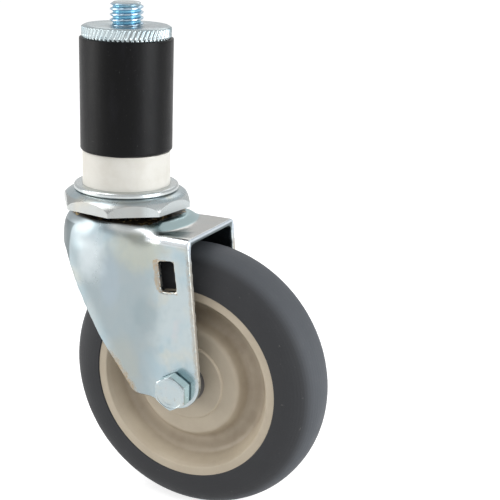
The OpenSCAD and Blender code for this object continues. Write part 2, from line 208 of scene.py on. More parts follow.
# %% Find places on the object
def new_finish(name):
    """A new material, its shader node and the place on the object in millimetres."""
    material = bpy.data.materials.new(name)
    material.use_nodes = True
    tree = material.node_tree
    shader = tree.nodes["Principled BSDF"]
    place = Wire(tree).node("ShaderNodeTexCoord", {}, {}, output="Object")
    place = place.node("ShaderNodeVectorMath", {"operation": "SCALE"}, {0: place, "Scale": 1 / MM})
    return material, shader, place


def axes(place):
    """The three coordinates of a place."""
    split = place.node("ShaderNodeSeparateXYZ", {}, {0: place})
    return [Wire(place.tree, s) for s in split.socket.node.outputs]


def stretched(place, x, y, z):
    """The place with each axis scaled, for grain that runs along one axis."""
    return place.node("ShaderNodeVectorMath", {"operation": "MULTIPLY"}, {0: place, 1: (x, y, z)})


def distance(first, second):
    """How far a place is from an axis, from its two coordinates around that axis."""
    return first.maths("SQRT", first * first + second * second)


def around_axle(place):
    """The distance from the wheel's axis, and the coordinate along it."""
    x, y, z = axes(place)
    return distance(x - axle_x, z - axle_z), y


print("places ready")

# %% [markdown]
# ### Noises and masks
# Noise breaks up a surface. A hard limit on it would leave jagged edges, so the masks come
# from soft steps between two values.

# %% Make noises and masks
def noise(place, size, detail=2.0, rough=0.5, shift=0.0):
    """Noise from 0 to 1 whose lumps are about size millimetres across."""
    moved = place.node("ShaderNodeVectorMath", {"operation": "ADD"}, {0: place, 1: (shift, shift, shift)})
    return place.node("ShaderNodeTexNoise", {},
                      {"Vector": moved, "Scale": 1 / size, "Detail": detail, "Roughness": rough})


def step(wire, low, high):
    """A soft step: 0 below low, 1 above high."""
    return wire.node("ShaderNodeMapRange", {"interpolation_type": "SMOOTHSTEP"},
                     {"Value": wire, "From Min": low, "From Max": high})


def band(wire, low, high, soft):
    """1 between low and high, with soft sides."""
    return step(wire, low - soft, low + soft) * (1 - step(wire, high - soft, high + soft))


print("masks ready")

# %% [markdown]
# ### Colours in layers
# Plate, dirt and grease lie on one another in coats. A mix node lays one colour over another
# where its mask is 1, and a list of such pairs reads in the order of the coats.

# %% Lay colours and fill the shader
def over(base, coat, mask):
    """One colour laid over another where the mask is 1."""
    base, coat = [c if isinstance(c, Wire) else (*c, 1) for c in (base, coat)]
    return mask.node("ShaderNodeMix", {"data_type": "RGBA"}, {0: mask, 6: base, 7: coat}, output=2)


def layers(colour, *coats):
    """A colour with coats laid over it in turn, each a pair of colour and mask."""
    for coat, mask in coats:
        colour = over(colour, coat, mask)
    return colour


def relief(height, millimetres):
    """Surface relief whose height of 1 stands for so many millimetres."""
    return height.node("ShaderNodeBump", {},
                       {"Height": height, "Distance": millimetres * MM, "Strength": 1.0})


def connect(shader, **sockets):
    """Feeds wires or constants into the shader's sockets, named with _ for a space."""
    for name, value in sockets.items():
        socket = shader.inputs[name.replace("_", " ")]
        if isinstance(value, Wire):
            value.tree.links.new(value.socket, socket)
        else:
            socket.default_value = value


def paint(material, *pieces):
    """Gives CAD nodes, by name, or new pieces this one material."""
    for piece in pieces:
        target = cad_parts[piece] if isinstance(piece, str) else piece
        target.data.materials.clear()
        target.data.materials.append(material)


print("helpers ready")

# %% [markdown]
# ## Turned pieces with a pattern
# The thread and the knurl are what the eye finds first on the stem, and bump alone leaves their
# outlines smooth. Both are cut into a turned surface, so one helper serves: it takes rings of
# points around an axis, joins each ring to the next, and closes the ends. The rings come from
# a table of radii, one row for each level along the axis and one column for each angle.

# %% Collect the rings
def around(columns):
    """The angles of evenly spaced columns."""
    return 2 * math.pi * np.arange(columns) / columns


def plain_rings(outline, columns):
    """Round rings from pairs of radius and level: their table of radii, and their levels."""
    return np.array([[r] * columns for r, level in outline]), [level for r, level in outline]


def joined(*parts):
    """Tables of radii with their levels, put end to end."""
    return [np.concatenate(tables) for tables in zip(*parts)]


print("four columns stand at", np.degrees(around(4)), "degrees")

# %% [markdown]
# ### From rings to a surface
# The points are numbered as a grid, and shifting that grid gives the corners of all faces at
# once, which is quicker than adding them one by one. Edges sharper than a set angle are marked,
# and the rest shades smoothly.

# %% Build a surface from rings
smooth_below = math.radians(38)


def ringed_piece(name, radii, levels, body, replaces, about_axle=False):
    """A closed piece around the swivel axis or the axle, from rings of radii in mm."""
    rows, columns = radii.shape
    angle = around(columns)
    level = np.broadcast_to(levels if levels.ndim == 2 else levels[:, None], radii.shape)
    points = np.stack([radii * np.cos(angle), radii * np.sin(angle), level], axis=-1) * MM
    if about_axle:
        points = points[..., [0, 2, 1]] + np.array([axle_x, 0, axle_z]) * MM
    index = np.arange(rows * columns).reshape(rows, columns)
    beside = np.roll(index, -1, axis=1)
    faces = np.stack([index[:-1], beside[:-1], beside[1:], index[1:]], axis=-1).reshape(-1, 4).tolist()
    faces.append(index[0][::-1].tolist())
    faces.append(index[-1].tolist())
    mesh = bpy.data.meshes.new(name)
    mesh.from_pydata(points.reshape(-1, 3).tolist(), [], faces)
    mesh.polygons.foreach_set("use_smooth", [True] * len(faces))
    mesh.update()
    piece = bpy.data.objects.new(name, mesh)
    bpy.context.scene.collection.objects.link(piece)
    mesh.set_sharp_from_angle(angle=smooth_below)
    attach(piece, body)
    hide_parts(replaces)
    print(name, "faces:", len(faces))
    return piece


# %% [markdown]
# ## The stud
# The stud is a rod with a coarse thread of 13 turns to the inch, cut along the part that the
# nut can reach. A screw modifier could sweep a profile, but its ends are hard to close. Here
# the radius is a rule of height and angle: the height above the helix, counted in turns, says
# whether a point lies on the crest, on a flank or in the root.

# %% Shape the thread
thread_pitch = 25.4 / 13
thread_depth = 0.58 * thread_pitch
thread_phase = 0.25
threaded_length = 27.0
rings_per_turn = 14
stud_chamfer = 1.2


def thread_form(level, angle, pitch):
    """Depth of the rolled thread at a height and angle, from 0 on the crest to 1 in the root."""
    turns = level / pitch - angle / (2 * math.pi) + thread_phase
    wave = 0.5 - 0.5 * np.cos(2 * math.pi * turns)
    return np.clip(wave * 1.25 - 0.18, 0, 1)


print("thread", round(thread_depth, 2), "mm deep, one turn in", round(thread_pitch, 3), "mm")

# %% [markdown]
# ### From foot to tip
# The foot under the cup is riveted, so its edge is round. The thread fades in above the plain
# shank and ends in a turned bevel. Both only take metal away, so the surface is the lesser of
# the two radii.

# %% Cut the stud
def make_stud():
    columns = 96
    foot_r = turned_radius("threaded_stem", stem_low, cup_low)
    foot_h = cup_low - stem_low
    outline = [(0.4, stem_low)]
    for inward, up in [(0.9, 0), (0.5, 0.15), (0.1, 0.45)]:
        outline.append((foot_r - foot_h * inward, stem_low + foot_h * up))
    thread_low = stem_high - threaded_length
    outline += [(foot_r, cup_low - 0.2), (foot_r, cup_low), (stud_r, cup_low), (stud_r, thread_low - 1)]
    cut = np.arange(thread_low, stem_high - 0.15, thread_pitch / rings_per_turn)
    fade = np.clip((cut - cut[0]) / 1.5, 0, 1)[:, None]
    thread = stud_r - thread_depth * fade * thread_form(cut[:, None], around(columns)[None, :], thread_pitch)
    from_top = (stem_high - cut)[:, None]
    bevel = stud_r - stud_chamfer * 1.25 * np.clip(1 - from_top / stud_chamfer, 0, 1) ** 1.3
    end_r = float(bevel[-1, 0])
    end = [(end_r - 0.15, stem_high - 0.06), (end_r - 0.5, stem_high), (0.4, stem_high)]
    radii, levels = joined(plain_rings(outline, columns), (np.minimum(thread, bevel), cut),
                           plain_rings(end, columns))
    return ringed_piece("stud_with_thread", radii, levels, "stem", "threaded_stem")


stud = make_stud()

# %% [markdown]
# ## The knurled nut
# The rim of the round nut is rolled with slanting ridges, and cross cuts at its lower edge leave
# a row of teeth. Each set of ridges is a wave around the rim that shifts with height, one to
# the right and one to the left, and the radius follows them.

# %% Roll the knurl
knurl_ridges = 58
knurl_depth = 0.5
ridge_lean = math.radians(24)
teeth_lean = -ridge_lean * 1.5


def make_nut():
    columns = knurl_ridges * 10
    low, high = heights("knurled_nut")
    rim_r = turned_radius("knurled_nut", low, high)
    bore_r = stud_r - thread_depth * 0.5
    ridge = 2 * math.pi * rim_r / knurl_ridges

    def wave(level, lean):
        turns = (around(columns)[None, :] * rim_r - level * math.tan(lean)) / ridge
        return np.abs(turns - np.floor(turns) - 0.5) * 2

    level = np.linspace(low + 0.12, high - 0.3, 26)[:, None]
    from_low = (level - low) / (high - low)
    ridges = np.clip(wave(level, ridge_lean) * 1.25, 0, 1)
    teeth = np.clip(wave(level, teeth_lean) * 1.3, 0, 1) * np.clip(1.25 - 2.3 * from_low, 0, 1)
    top_bevel = rim_r - 0.1 - 0.9 * np.clip((level - (high - 0.75)) / 0.6, 0, 1) ** 1.5
    rim = np.minimum(rim_r - knurl_depth * np.maximum(ridges, teeth), top_bevel)
    under = [(bore_r, low), (rim_r - 1.4, low)]
    top = [(rim_r - 1.25, high), (stud_r + 0.75, high), (bore_r, high - 0.75)]
    radii, levels = joined(plain_rings(under, columns), (rim[:1] - 0.15, [low]), (rim, level[:, 0]),
                           plain_rings(top, columns))
    return ringed_piece("nut_with_knurl", radii, levels, "nut", "knurled_nut")


nut = make_nut()

# %% [markdown]
# ## The rubber sleeve
# The sleeve is a length of thick black hose. It was cut by hand, so its ends are a little uneven, and its
# wall is never quite round. A few slow waves around the hose give both. When the nut comes down the sleeve
# is squeezed, so it rides with the stem's expander.

# %% Cut the sleeve
cut_waves = [(0.16, 1, 0.7), (0.1, 3, 2.1), (0.07, 7, 0.4), (0.05, 13, 1.3)]
sleeve_round = 0.3
sleeve_play = 0.3


def make_sleeve():
    angle = around(160)
    low, high = heights("rubber_sleeve")
    length = high - low
    sleeve_r = turned_radius("rubber_sleeve", low, high)
    uneven = sum(deep * np.sin(count * angle + start) for deep, count, start in cut_waves)
    middle = np.linspace(0.03, 0.97, 30)
    share = np.concatenate([[0, 0, 0.004, 0.013], middle, [0.987, 0.996, 1, 1]])[:, None]
    level = low + share * length + (0.4 + uneven[None, :]) * (1 - share) ** 6
    oval = 0.05 * np.sin(2 * angle[None, :] + 3 * share) + 0.03 * np.sin(5 * angle[None, :])
    from_end = np.minimum(share, 1 - share) * length
    radii = sleeve_r - 0.06 - oval - sleeve_round * np.clip(1 - from_end / sleeve_round, 0, 1) ** 2
    radii[[0, -1]] = stud_r + sleeve_play
    piece = ringed_piece("cut_sleeve", radii, level, "expander", "rubber_sleeve")
    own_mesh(piece)
    return piece


sleeve = make_sleeve()

# %% [markdown]
# ## The axle bolt
# The bolt's head was cold formed and then faced on a lathe. Its bearing side is turned smaller
# than the hexagon, which leaves a dark seam above the leg, and its face has a shallow dish
# inside a round edge. The rings follow the hexagon of the solid, corner for corner.

# %% Form the bolt
bolt_pitch = 25.4 / 18
bolt_seam = 0.75
head_cone = math.radians(25)


def make_bolt():
    columns = 144
    angle = around(columns)
    leg_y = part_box("fork")[0].y / MM
    on_axle = Vector((axle_x, 0, axle_z))
    points = [v.co / MM - on_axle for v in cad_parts["axle_bolt"].data.vertices]
    face_y, tip_y = min(p.y for p in points), max(p.y for p in points)
    corner = max((p for p in points if p.y < leg_y - 0.5), key=lambda p: math.hypot(p.x, p.z))
    corner_angle = math.atan2(corner.z, corner.x)
    flat_r = math.hypot(corner.x, corner.z) * math.cos(math.pi / 6)
    hexagon = flat_r / np.cos((angle - corner_angle) % (math.pi / 3) - math.pi / 6)
    shank_r = max(math.hypot(p.x, p.z) for p in points if p.y > leg_y + 1)
    cut = np.arange(tip_y - 0.9, tip_y - 9, -bolt_pitch / 10)
    thread = shank_r - 0.5 * bolt_pitch * thread_form(-cut[:, None], angle[None, :], bolt_pitch)
    head_h = leg_y - face_y
    out = np.concatenate([np.linspace(bolt_seam, head_h - 1.6, 4), np.linspace(head_h - 1.3, head_h, 9)])
    cone = flat_r - 0.1 + (head_h - out) / math.tan(head_cone)
    head = np.minimum(hexagon[None, :], cone[:, None])
    tip = [(shank_r - 0.7, tip_y), (shank_r, tip_y - 0.8)]
    seam_r, seam_y = flat_r * 0.9, leg_y - bolt_seam
    shank = [(shank_r, cut[-1] - 0.2), (shank_r, leg_y), (seam_r, leg_y), (seam_r, seam_y + 0.1),
             (flat_r - 0.25, seam_y)]
    dish = [(flat_r - 0.3, 0.0), (flat_r - 0.55, 0.12), (0.84 * flat_r, 0.02), (0.74 * flat_r, 0.26),
            (0.5 * flat_r, 0.3), (0.2, 0.2)]
    dish = [(r, face_y + down) for r, down in dish]
    radii, levels = joined(plain_rings(tip, columns), (thread, cut), plain_rings(shank, columns),
                           (head, leg_y - out), plain_rings(dish, columns))
    return ringed_piece("turned_bolt", radii, levels, "fork", "axle_bolt", about_axle=True)


bolt = make_bolt()

# %% [markdown]
# ## The drawn fork
# A press draws the fork's crown in one stroke, and steel will not fold sharply there: where the
# round crown meets the flat legs and the shelf, the real sheet flows. The solid has short hard
# joins in those places. The fork is therefore covered again with an even net of small faces,
# and the net is relaxed near those joins, each point moving towards its neighbours. The first
# few rounds go over the whole net, to take the steps out that the even faces leave.

# %% Relax a net of points
even_rounds, relax_rounds = 3, 150
pull = 0.8


def rise(value, low, high):
    """A soft step on plain numbers, as step() is on wires."""
    share = np.clip((value - low) / (high - low), 0, 1)
    return share * share * (3 - 2 * share)


def relax(points, ends, eased):
    """Moves each point towards the middle of its neighbours, as far as its share says."""
    count = len(points)
    first, second = ends[0::2], ends[1::2]
    neighbours = np.bincount(ends, minlength=count)
    for done in range(relax_rounds):
        share = np.ones(count) if done < even_rounds else eased
        for axis in range(3):
            line = points[:, axis]
            total = np.bincount(first, line[second], count) + np.bincount(second, line[first], count)
            points[:, axis] = line + pull * share * (total / neighbours - line)


print("a soft step is", rise(0.25, 0, 1), "a quarter of the way up")

# %% [markdown]
# ### Where the sheet flowed
# Blender's remesh modifier makes the even net. Soft steps on the points' coordinates say where
# it may ease: around the crown's edge, but not behind its middle, where the shelf stays flat.

# %% Draw the fork
net_size = 0.5


def netted_mesh(piece):
    """The piece's surface, covered again with small even faces."""
    net = piece.modifiers.new("even_net", "REMESH")
    net.mode, net.voxel_size = "VOXEL", net_size * MM
    view = bpy.context.evaluated_depsgraph_get()
    mesh = bpy.data.meshes.new_from_object(piece.evaluated_get(view))
    piece.modifiers.clear()
    return mesh


def draw_fork():
    piece = bpy.data.objects.new("drawn_fork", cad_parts["fork"].data.copy())
    bpy.context.scene.collection.objects.link(piece)
    mesh = piece.data = netted_mesh(piece)
    points = np.empty(len(mesh.vertices) * 3)
    mesh.vertices.foreach_get("co", points)
    points = points.reshape(-1, 3) / MM
    ends = np.empty(len(mesh.edges) * 2, dtype=np.int32)
    mesh.edges.foreach_get("vertices", ends)
    x, y, z = points.T
    crown_edge = rise(np.hypot(x, y), 17.6, 19.4) * rise(z, -24, -18) * (1 - rise(x, 18, 25))
    relax(points, ends, crown_edge * np.maximum(rise(abs(y), 10, 14), 1 - rise(x, -2, 4)))
    mesh.vertices.foreach_set("co", (points * MM).ravel())
    mesh.polygons.foreach_set("use_smooth", [True] * len(mesh.polygons))
    mesh.update()
    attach(piece, "fork")
    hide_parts("fork")
    print("drawn fork faces:", len(mesh.polygons))
    return piece


drawn_fork = draw_fork()

# %% [markdown]
# ## Zinc plate
# Most of the castor is steel with bright zinc plate. Zinc is a soft grey metal, and the thin
# film that protects it shifts its colour from place to place: mostly pale blue, with patches of
# straw yellow and a breath of pink. The colours look dark as numbers, because a metal shows
# what it mirrors, here a white room, and its colour only tints that. One function makes the
# plate, and each piece then adds what is its own.

# %% Mix the zinc plate
ZINC = (0.40, 0.455, 0.47)
ZINC_BLUE = (0.29, 0.40, 0.46)
ZINC_STRAW = (0.50, 0.47, 0.38)
ZINC_PINK = (0.47, 0.43, 0.44)
GREASE_SHADE = (0.018, 0.013, 0.008)
STAIN = (0.42, 0.31, 0.19)
PLATE_GRAIN = 0.012


def zinc_plate(name, patch, blue, straw, pink, gloss):
    """A plate's material, shader, place, colour, roughness and grain, with patches of a size."""
    material, shader, place = new_finish(name)
    colour = layers(ZINC,
                    (ZINC_BLUE, step(noise(place, patch, 3), 0.42, 0.68) * blue),
                    (ZINC_STRAW, step(noise(place, patch * 0.8, 3, shift=31), 0.5, 0.72) * straw),
                    (ZINC_PINK, step(noise(place, patch * 0.5, 2, shift=57), 0.58, 0.75) * pink))
    cloud = noise(place, patch * 0.35, 4, 0.6, shift=11)
    return SimpleNamespace(material=material, shader=shader, place=place, colour=colour,
                           roughness=gloss + 0.16 * (cloud - 0.4),
                           grain=noise(place, 0.35, 3, 0.6, shift=5))


print("zinc mixed")

# %% [markdown]
# ## The stud's finish
# The film is thickest in the roots of the thread, where the plate looks strongly blue, and
# paler on the crests. The distance from the stud's axis tells the root from the crest.

# %% Finish the stud
def stud_finish():
    plate = zinc_plate("blue_zinc_thread", patch=5.0, blue=0.7, straw=0.3, pink=0.5, gloss=0.2)
    x, y, z = axes(plate.place)
    thread_low = stem_high - threaded_length
    on_thread = step(z, thread_low, thread_low + 2)
    root = (1 - step(distance(x, y), stud_r - thread_depth, stud_r - 0.3)) * on_thread
    below_end = 1 - step(z, stem_high - 1.6, stem_high - 0.9)
    colour = layers(plate.colour,
                    ((0.42, 0.57, 0.70), (1 - root) * on_thread * 0.75),
                    ((0.24, 0.60, 0.80), root * below_end * 0.85))
    connect(plate.shader, Base_Color=colour, Metallic=1 - 0.5 * root, Roughness=plate.roughness,
            Normal=relief(plate.grain, PLATE_GRAIN))
    return plate.material


paint(stud_finish(), stud)
print("stud painted")

# %% [markdown]
# ## The nut's finish
# The nut was faced on a lathe, so rings of turning cross its flat top. One side of that top is painted
# darker, as painted shade. A wave texture draws such rings around Z, and a mask by height keeps them on the
# top.

# %% Finish the nut
def nut_finish():
    plate = zinc_plate("knurled_zinc", patch=7.0, blue=0.5, straw=0.1, pink=0.1, gloss=0.26)
    x, _, z = axes(plate.place)
    turning = plate.place.node("ShaderNodeTexWave", {"wave_type": "RINGS", "rings_direction": "Z"},
                               {"Vector": plate.place, "Scale": 0.55, "Distortion": 0.6, "Detail": 2.0})
    nut_top = heights("knurled_nut")[1]
    flat_top = step(z, nut_top - 0.2, nut_top - 0.1)
    # The darker colour on one side of the flat top is painted shade.
    colour = over(plate.colour, (0.28, 0.32, 0.34), flat_top * step(x, -6, 12) * 0.6)
    connect(plate.shader, Base_Color=colour, Metallic=1.0,
            Roughness=plate.roughness + 0.06 * flat_top * turning,
            Normal=relief(plate.grain + turning * flat_top * 0.8, PLATE_GRAIN))
    return plate.material


paint(nut_finish(), nut)
print("nut painted")

# %% [markdown]
# ## Turned and pressed plate
# The race head is cut from thick plate. Its front flats are duller and more beige than its turned shoulder,
# and its flats at the back are painted paler, which is painted light. The washer is a small pressing, the
# palest of all, and the lower cup has the same plate. Grease creeps out of the ball race over the nearest
# metal, and the race lies in shade between the parts, so a dark mask by height and radius, grease and
# painted shade together, belongs to the head and to the cup. The washer has none, so its band of heights
# lies far above the castor.

# %% Finish the head, the washer and the cup
head_low = heights("race_head")[0]
flats_h = 4.0
no_height = (90, 91)


def race_finish(name, grease_shade_span, grease_shade_r, cut=0.0, pale=0.0, **mix):
    """Plate near the ball race; cut is the share of its machined flats, pale of a light film."""
    plate = zinc_plate(name, blue=0.35, **mix)
    place = plate.place
    x, y, z = axes(place)
    wobble = 0.8 * noise(place, 3.0, 3)
    near_race = 1 - step(distance(x, y) + wobble, grease_shade_r, grease_shade_r + 1.2)
    # The dark mask is grease and painted shade in the ball race.
    grease_and_shade = band(z + 0.4 * wobble, *grease_shade_span, 0.3) * near_race
    on_flats = (1 - step(z, head_low + flats_h, head_low + flats_h + 0.6)) * cut
    lit_back = step(x, 15, 19)
    cloud = 0.6 + 0.4 * noise(place, 5, 3, shift=77)
    specks = step(noise(place, 0.9, 3, 0.7, shift=9), 0.62, 0.7) * 0.5
    # The pale coat is painted light on the back flats of the head, and a light film on the washer.
    colour = layers(plate.colour,
                    ((0.37, 0.355, 0.33), on_flats * (1 - lit_back) * cloud),
                    ((0.56, 0.59, 0.59), on_flats * lit_back | pale),
                    (STAIN, specks * step(noise(place, 9, 2, shift=3), 0.5, 0.65)),
                    (GREASE_SHADE, grease_and_shade))
    connect(plate.shader, Base_Color=colour, Metallic=1 - grease_and_shade,
            Roughness=plate.roughness + grease_and_shade * 0.1,
            Normal=relief(plate.grain + wobble * grease_and_shade, PLATE_GRAIN))
    return plate.material


paint(race_finish("head_zinc_plate", (head_low - 1, head_low + 0.4), 21, cut=0.75,
                  patch=16.0, straw=0.75, pink=0.5, gloss=0.27), "race_head")
paint(race_finish("washer_zinc_plate", no_height, 1, pale=0.75,
                  patch=9.0, straw=0.4, pink=0.2, gloss=0.22), "seat_washer")
paint(race_finish("cup_zinc_plate", (cup_low, cup_high), 14,
                  patch=9.0, straw=0.4, pink=0.2, gloss=0.3), "lower_race")
print("race painted")

# %% [markdown]
# ## The fork's plate
# The fork is the largest bright face. It was drawn from one sheet, and the film on it has slow patches.
# Painted highlights lie on its fold and shoulder, and painted shade and painted reflections on its legs and
# crown. It also carries the wear of use: brown stains around the window, up the rear edges and along the
# toes, and pits in the sheared edges. In the gap under the head lies old grease, with painted shade and
# painted glints. Each is a mask, placed in millimetres on the fork, and the ones beside the window stay on
# the near leg. First come the sizes that the masks need. The window and the rear edge lie where the solid
# has them, and the head's eight flats are measured by turning a ruler around its points.

# %% Measure the fork and the head above it
fork_low, fork_high = (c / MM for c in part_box("fork"))
rear_top_x, rear_top_z, rear_slope = 36.0, -15.8, 0.1035
window_x, window_z, window_lean = 27.7, -27.5, 0.14
window_w, window_h = 6.2, 11.2
shelf_z = rear_top_z + 3.0
head_points = np.array([v.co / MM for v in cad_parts["race_head"].data.vertices])[:, :2]
turns = np.radians(np.arange(0, 45, 0.4))
half_widths = [(head_points @ (math.cos(t), math.sin(t))).max() for t in turns]
head_turn, head_half = turns[int(np.argmin(half_widths))], min(half_widths)
print("head's flats stand", round(head_half, 2), "mm out, turned by", round(math.degrees(head_turn), 1))
print("fork box", [round(v, 1) for v in fork_low], [round(v, 1) for v in fork_high])


def on_fork(place):
    """The coordinates on the fork, with the masks and noises that its marks share."""
    x, y, z = axes(place)
    return SimpleNamespace(place=place, x=x, y=y, z=z,
                           near_leg=1 - step(y, fork_low.y + 1.0, fork_low.y + 3.0),
                           from_rear=rear_top_x - (z - rear_top_z) * rear_slope - x,
                           slow=noise(place, 9, 3, 0.6, shift=19) - 0.5,
                           ragged=noise(place, 2.6, 5, 0.65) - 0.5)


# %% [markdown]
# ### Tones of the legs
# A metal's colour tints what it mirrors, so painted shade and painted light on the sheet are colours too.
# The legs have a dull middle, which is painted shade, a pale spot on the nose, which is a painted highlight,
# a straw spot below the crown, which is a painted reflection, and a few darker, bluish spots. The spots are
# ellipses whose outline a slow noise bends.

# %% Tone the legs
def leg_tones(at):
    """The painted shade in the middle of the legs and their soft spots, as pairs of colour and mask."""
    def spot(centre_x, centre_z, wide, high, soft=0.45):
        """A soft uneven spot on the near leg, 1 in its middle."""
        far_off = distance((at.x - centre_x) / wide, (at.z - centre_z) / high)
        return (1 - step(far_off + at.slow * 1.1, 1 - soft, 1 + soft)) * at.near_leg

    front_x = (at.z + 53) * -0.56 - 0.6
    rear_side = 1 - step(at.x - 0.02 * at.z + at.slow * 5, 17, 30)
    shaded_middle = step(at.x - front_x, -1, 5) * rear_side * (1 - step(at.z, -26, -14))
    mottle = noise(stretched(at.place, 1, 1, 0.6), 3.2, 4, 0.65, shift=71)
    # The dull middle is painted shade, the pale spot at the nose a painted highlight and the straw spot
    # under the crown a painted reflection.
    return [((0.27, 0.315, 0.33), shaded_middle * 0.85),
            ((0.20, 0.26, 0.28), spot(18.4, -43.5, 5, 6) * 0.35),
            ((0.37, 0.385, 0.335), spot(16, -18, 10, 9) * 0.8),
            ((0.32, 0.34, 0.315), spot(10, -63, 6, 10) * 0.6),
            ((0.30, 0.36, 0.41), spot(4, -33, 4, 9) * 0.5),
            ((0.78, 0.84, 0.87), spot(-4.2, -24.0, 4.6, 8, 0.8) * 0.4),
            ((0.25, 0.31, 0.33), step(mottle, 0.45, 0.75) * 0.22)]


print("leg tones ready")

# %% [markdown]
# ### Tones of the crown
# The crown has a bluish skirt around its dome and a plain shelf behind it. The pale fold and shoulder where
# the sheet was bent are painted highlights, and a dark patch on the shelf beside the fold is a painted
# reflection. Soft steps along the three axes bound each of them.

# %% Tone the crown
def crown_tones(at):
    """The skirt, the shelf, the painted highlights on the fold and the shoulder, and the painted reflection
    beside the fold, with the shoulder's mask by itself.
    """
    x, y, z = at.x, at.y - fork_low.y, at.z - shelf_z
    skirt = step(z, 0.1, 0.6) * step(distance(at.x, at.y), 20.5, 22) * step(x, 8, 12)
    shelf = step(z, -1.6, -0.6) * step(x, 20, 25) * (1 - skirt)
    # The fold and the shoulder are painted highlights; the shaded patch on the shelf is a painted dark
    # reflection.
    fold_highlight = (1 - step(y, 1.2, 2.6)) * step(z, -3.4, -2.2) * step(x, 17, 20)
    shoulder_highlight = (1 - step(at.y, -16.5, -13.5)) * step(at.z, -14.5, -12.2) * step(x, 1, 6)
    shoulder_highlight = shoulder_highlight * (1 - step(x, 19, 23))
    shaded = shelf * (1 - step(y - (x - 18) * 0.62 + at.slow * 1.5, 1.5, 3.2)) * (1 - step(x, 30, 34))
    tones = [((0.40, 0.53, 0.545), skirt * 0.85),
             ((0.45, 0.44, 0.415), shelf * 0.8),
             ((0.80, 0.84, 0.87), fold_highlight * 0.95),
             ((0.72, 0.75, 0.75), shoulder_highlight * 0.9),
             ((0.07, 0.12, 0.12), shaded * step(y, 1.5, 3) * 0.7)]
    return tones, shoulder_highlight


print("crown tones ready")

# %% [markdown]
# ### Dirt and wear
# Dirt collects where the sheet was cut. The distance from the window's outline, from the rear
# edge or from the toe, made ragged by a noise, gives stains that follow those edges. A finer
# noise breaks the stains up, so that the plate shows through.

# %% Stain the window and the edges
def window_marks(at):
    """1 on the window's cut wall, its share of light, and the stain around it."""
    across = at.x - window_x + (at.z - window_z) * window_lean
    beside, above = abs(across) - window_w / 2, abs(at.z - window_z) - window_h / 2
    from_window = beside | above
    in_front = 1 - step(across, -window_w / 2 - 0.2, -window_w / 2 + 0.4)
    wider = in_front * (1 - step(above, -0.6, 0.8)) * 1.5
    stain = (1 - step(from_window + at.ragged * 1.4 - wider, 0.1, 0.7)) * step(from_window, 0.0, 0.1)
    wall = (1 - step(from_window, -0.15, 0.0)) * at.near_leg
    return wall, wall * (1 - step(across, -1.5, 0.5) * 0.3), stain * at.near_leg


def edge_marks(at, window_stain):
    """All brown stains together, and the golden dirt on the toes."""
    place, ragged = at.place, at.ragged
    rear_edge = (1 - step(at.from_rear + ragged * 2.6, 0.5, 1.7)) * band(at.z, -66, rear_top_z - 3, 3)
    toe_x = (at.z + 54) * -0.73 - 2.1
    toe = (1 - step(at.x - toe_x + ragged * 4.5, 1.6, 4.4)) * band(at.z, -79, -62, 4)
    lobe = (1 - step(at.z - fork_low.z + ragged * 2, 1.0, 2.0)) * (1 - step(at.x, 30, 33))
    broken = step(noise(place, 0.8, 4, 0.7, shift=21), 0.3, 0.6)
    stained = (window_stain * 0.8 | rear_edge * 0.45 | toe * 0.85 | lobe * 0.7) * broken
    specks = step(noise(place, 0.7, 3, 0.7, shift=41), 0.68, 0.76)
    specks = specks * step(noise(place, 11, 2, shift=7), 0.5, 0.62)
    golden = toe * step(noise(place, 1.3, 4, 0.7, shift=91), 0.45, 0.6)
    return stained | specks * 0.3, golden


print("window", window_w, "by", window_h, "mm")

# %% [markdown]
# ### Grease and painted shade in the gap
# What shows under the head is old grease on the crown, together with painted shade where the gap is dark,
# and painted glints that stand for the balls. It follows the head's eight flats: the greatest of the
# distances across four directions has an octagon as its outline.

# %% Fill the gap with grease and painted shade
def gap_grease_and_shade(at):
    """Old grease and painted shade on the crown under the eight-sided head, and painted golden glints."""
    eighth = math.pi / 4
    across = [abs(at.x * math.cos(head_turn + k * eighth) + at.y * math.sin(head_turn + k * eighth))
              for k in range(4)]
    under_head = across[0] | across[1] | across[2] | across[3]
    inside_flats = 1 - step(under_head + at.ragged * 1.2, head_half - 1.6, head_half - 0.9)
    grease_and_shade = step(at.z, fork_high.z - 2.0, fork_high.z - 1.2) * inside_flats
    # The golden glints are painted glints that stand for the balls out of sight.
    painted_glint = step(noise(at.place, 1.5, 2, 0.5, shift=61), 0.56, 0.64)
    return grease_and_shade, painted_glint * step(under_head, head_half - 5.5, head_half - 4)


print("grease stays within", round(head_half, 1), "mm of the axis")

# %% [markdown]
# ### All coats of the fork
# The tones of the sheet come first, with their painted shade and painted highlights, then the window's wall,
# the stains and the sheared edges, the painted shade on the nose and inside the legs, and the grease with
# its painted shade and painted glints last, as it lies on everything else. Stains and grease aren't metal,
# so they also make the plate less metallic, and so does the shoulder's painted highlight.

